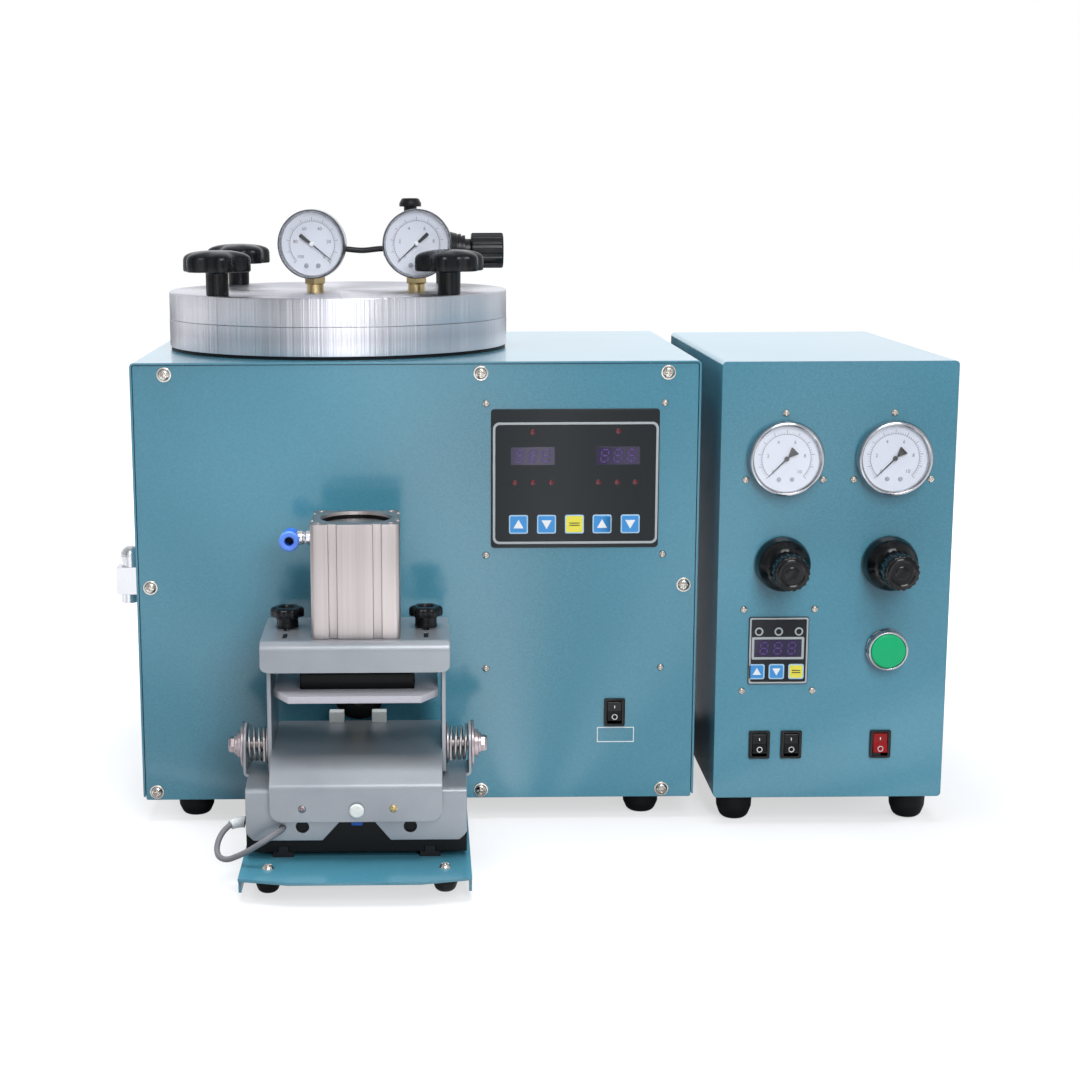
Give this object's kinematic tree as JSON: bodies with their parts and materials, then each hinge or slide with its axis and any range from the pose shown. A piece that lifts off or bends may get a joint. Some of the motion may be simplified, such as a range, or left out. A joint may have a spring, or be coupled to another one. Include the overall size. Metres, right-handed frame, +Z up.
{
  "type": "jewelry wax injector",
  "caption": "Bench wax injector: sheet steel case with a heated wax pot under a screwed lid, gauges, an air clamp that presses a mould to the nozzle, and a control box beside it.",
  "frame": {"origin": "middle of the whole model's plan, on the surface that it stands on", "axes": "+X to the right seen from the front, +Y to the back, +Z up"},
  "size_m": [0.614, 0.475, 0.4568],
  "materials": {
    "teal_paint": "hammered satin paint",
    "grey_paint": "satin paint",
    "aluminium": "turned or milled",
    "nickel": "polished nickel",
    "steel": "bright zinc",
    "black_plastic": "glossy",
    "satin_black": "satin",
    "white_plastic": "glossy",
    "brass": "machined",
    "rubber": "matte",
    "black_metal": "black anodised",
    "panel_film": "printed film",
    "board": "lacquered",
    "red_plastic": "translucent",
    "green_plastic": "translucent",
    "blue_plastic": "glossy",
    "grey_cable": "satin",
    "pump_paint": "satin"
  },
  "bodies": {
    "base": {"base_pan": "teal_paint", "case_cover": "teal_paint", "front_panel": "teal_paint", "rubber_feet": "rubber", "panel_screws": "nickel", "pot_gasket": "rubber", "pot_flange": "aluminium", "wax_pot": "aluminium", "heater_band": "steel", "nozzle_block": "satin_black", "nozzle_tip": "brass", "vacuum_pump": "pump_paint", "control_board": "board", "controller_panel": "panel_film", "switch_frames": "black_plastic", "drain_tap": "nickel", "mains_inlet": "satin_black", "clamp_base": "teal_paint", "guide_rails": "steel", "box_cover": "teal_paint", "box_chassis": "teal_paint", "panel_gauges": "nickel", "panel_regulators": "black_plastic", "counter_panel": "panel_film", "start_bezel": "nickel", "valve_block": "aluminium"},
    "lid": {"pot_lid": "aluminium", "lid_gauges": "nickel", "lid_regulator": "satin_black", "lid_hose": "satin_black"},
    "star_knob_1": {"star_knob_1": "black_plastic"},
    "star_knob_2": {"star_knob_2": "black_plastic"},
    "star_knob_3": {"star_knob_3": "black_plastic"},
    "star_knob_4": {"star_knob_4": "black_plastic"},
    "vacuum_knob": {"vacuum_knob": "black_plastic"},
    "vacuum_pointer": {"vacuum_pointer": "satin_black"},
    "pressure_pointer": {"pressure_pointer": "satin_black"},
    "forward_pointer": {"forward_pointer": "satin_black"},
    "clamp_pointer": {"clamp_pointer": "satin_black"},
    "main_rocker": {"main_rocker": "black_plastic"},
    "forward_rocker": {"forward_rocker": "black_plastic"},
    "clamp_rocker": {"clamp_rocker": "black_plastic"},
    "power_rocker": {"power_rocker": "red_plastic"},
    "start_button": {"start_button": "green_plastic"},
    "forward_knob": {"forward_knob": "black_plastic"},
    "clamp_knob": {"clamp_knob": "black_plastic"},
    "carriage": {"carriage_block": "black_metal", "yoke": "grey_paint", "pivot_bolts": "steel", "pivot_springs": "steel", "button_cable": "grey_cable"},
    "head": {"mould_tray": "grey_paint", "mould_stops": "white_plastic"},
    "clamp_button": {"clamp_button": "white_plastic"},
    "beam": {"top_beam": "grey_paint", "air_cylinder": "aluminium"},
    "beam_knob_1": {"beam_knob_1": "black_plastic"},
    "beam_knob_2": {"beam_knob_2": "black_plastic"},
    "press": {"press_plate": "aluminium"},
    "elbow": {"elbow_fitting": "blue_plastic"}
  },
  "joints": [
    {"name": "lid_lift", "type": "slide", "parent": "base", "child": "lid", "axis": [0, 0, 1], "range_m": [0, 0.16]},
    {"name": "star_knob_1_turn", "type": "hinge", "parent": "lid", "child": "star_knob_1", "pos_m": [-0.22591, -0.00141, 0.4065], "axis": [0, 0, 1], "continuous": true},
    {"name": "star_knob_2_turn", "type": "hinge", "parent": "lid", "child": "star_knob_2", "pos_m": [-0.05409, -0.00141, 0.4065], "axis": [0, 0, 1], "continuous": true},
    {"name": "star_knob_3_turn", "type": "hinge", "parent": "lid", "child": "star_knob_3", "pos_m": [-0.05409, 0.17041, 0.4065], "axis": [0, 0, 1], "continuous": true},
    {"name": "star_knob_4_turn", "type": "hinge", "parent": "lid", "child": "star_knob_4", "pos_m": [-0.22591, 0.17041, 0.4065], "axis": [0, 0, 1], "continuous": true},
    {"name": "vacuum_knob_turn", "type": "hinge", "parent": "lid", "child": "vacuum_knob", "pos_m": [-0.034, 0.0725, 0.4165], "axis": [1, 0, 0], "range_deg": [0, 720]},
    {"name": "vacuum_pointer_swing", "type": "hinge", "parent": "lid", "child": "vacuum_pointer", "pos_m": [-0.1555, 0.037, 0.423], "axis": [-0.1736, -0.9848, 0], "range_deg": [0, 260], "stiffness_Nm_per_rad": 0.002},
    {"name": "pressure_pointer_swing", "type": "hinge", "parent": "lid", "child": "pressure_pointer", "pos_m": [-0.0785, 0.037, 0.423], "axis": [0.0523, -0.9986, 0], "range_deg": [-260, 0], "stiffness_Nm_per_rad": 0.002},
    {"name": "forward_pointer_swing", "type": "hinge", "parent": "base", "child": "forward_pointer", "pos_m": [0.1846, -0.0785, 0.2737], "axis": [0, -1, 0], "range_deg": [-260, 0], "stiffness_Nm_per_rad": 0.002},
    {"name": "clamp_pointer_swing", "type": "hinge", "parent": "base", "child": "clamp_pointer", "pos_m": [0.2621, -0.0785, 0.2737], "axis": [0, -1, 0], "range_deg": [-260, 0], "stiffness_Nm_per_rad": 0.002},
    {"name": "main_rocker_tip", "type": "hinge", "parent": "base", "child": "main_rocker", "pos_m": [0.0665, -0.0575, 0.082], "axis": [1, 0, 0], "range_deg": [0, 16]},
    {"name": "forward_rocker_tip", "type": "hinge", "parent": "base", "child": "forward_rocker", "pos_m": [0.1716, -0.0745, 0.0612], "axis": [1, 0, 0], "range_deg": [0, 16]},
    {"name": "clamp_rocker_tip", "type": "hinge", "parent": "base", "child": "clamp_rocker", "pos_m": [0.195, -0.0745, 0.0612], "axis": [1, 0, 0], "range_deg": [0, 16]},
    {"name": "power_rocker_tip", "type": "hinge", "parent": "base", "child": "power_rocker", "pos_m": [0.2606, -0.0745, 0.0612], "axis": [1, 0, 0], "range_deg": [0, 16]},
    {"name": "start_button_press", "type": "slide", "parent": "base", "child": "start_button", "axis": [0, 1, 0], "range_m": [0, 0.003], "stiffness_N_per_m": 400, "springref_m": -0.002},
    {"name": "forward_knob_turn", "type": "hinge", "parent": "base", "child": "forward_knob", "pos_m": [0.1846, -0.1035, 0.1967], "axis": [0, -1, 0], "range_deg": [0, 1800]},
    {"name": "clamp_knob_turn", "type": "hinge", "parent": "base", "child": "clamp_knob", "pos_m": [0.2621, -0.1035, 0.1967], "axis": [0, -1, 0], "range_deg": [0, 1800]},
    {"name": "carriage_forward", "type": "slide", "parent": "base", "child": "carriage", "axis": [0, 1, 0], "range_m": [0, 0.014]},
    {"name": "head_tilt", "type": "hinge", "parent": "carriage", "child": "head", "pos_m": [-0.121, -0.1415, 0.0825], "axis": [1, 0, 0], "range_deg": [-3, 3], "stiffness_Nm_per_rad": 60},
    {"name": "clamp_button_press", "type": "slide", "parent": "head", "child": "clamp_button", "axis": [0, 1, 0], "range_m": [0, 0.0014], "stiffness_N_per_m": 300, "springref_m": -0.001},
    {"name": "beam_adjust", "type": "slide", "parent": "head", "child": "beam", "axis": [0, 1, 0], "range_m": [-0.004, 0.01]},
    {"name": "beam_knob_1_turn", "type": "hinge", "parent": "head", "child": "beam_knob_1", "pos_m": [-0.169, -0.1355, 0.175], "axis": [0, 0, 1], "continuous": true},
    {"name": "beam_knob_2_turn", "type": "hinge", "parent": "head", "child": "beam_knob_2", "pos_m": [-0.073, -0.1355, 0.175], "axis": [0, 0, 1], "continuous": true},
    {"name": "press_down", "type": "slide", "parent": "beam", "child": "press", "axis": [0, 0, -1], "range_m": [0, 0.03], "stiffness_N_per_m": 400, "springref_m": -0.02},
    {"name": "elbow_swivel", "type": "hinge", "parent": "beam", "child": "elbow", "pos_m": [-0.1669, -0.12, 0.2255], "axis": [1, 0, 0], "continuous": true}
  ]
}
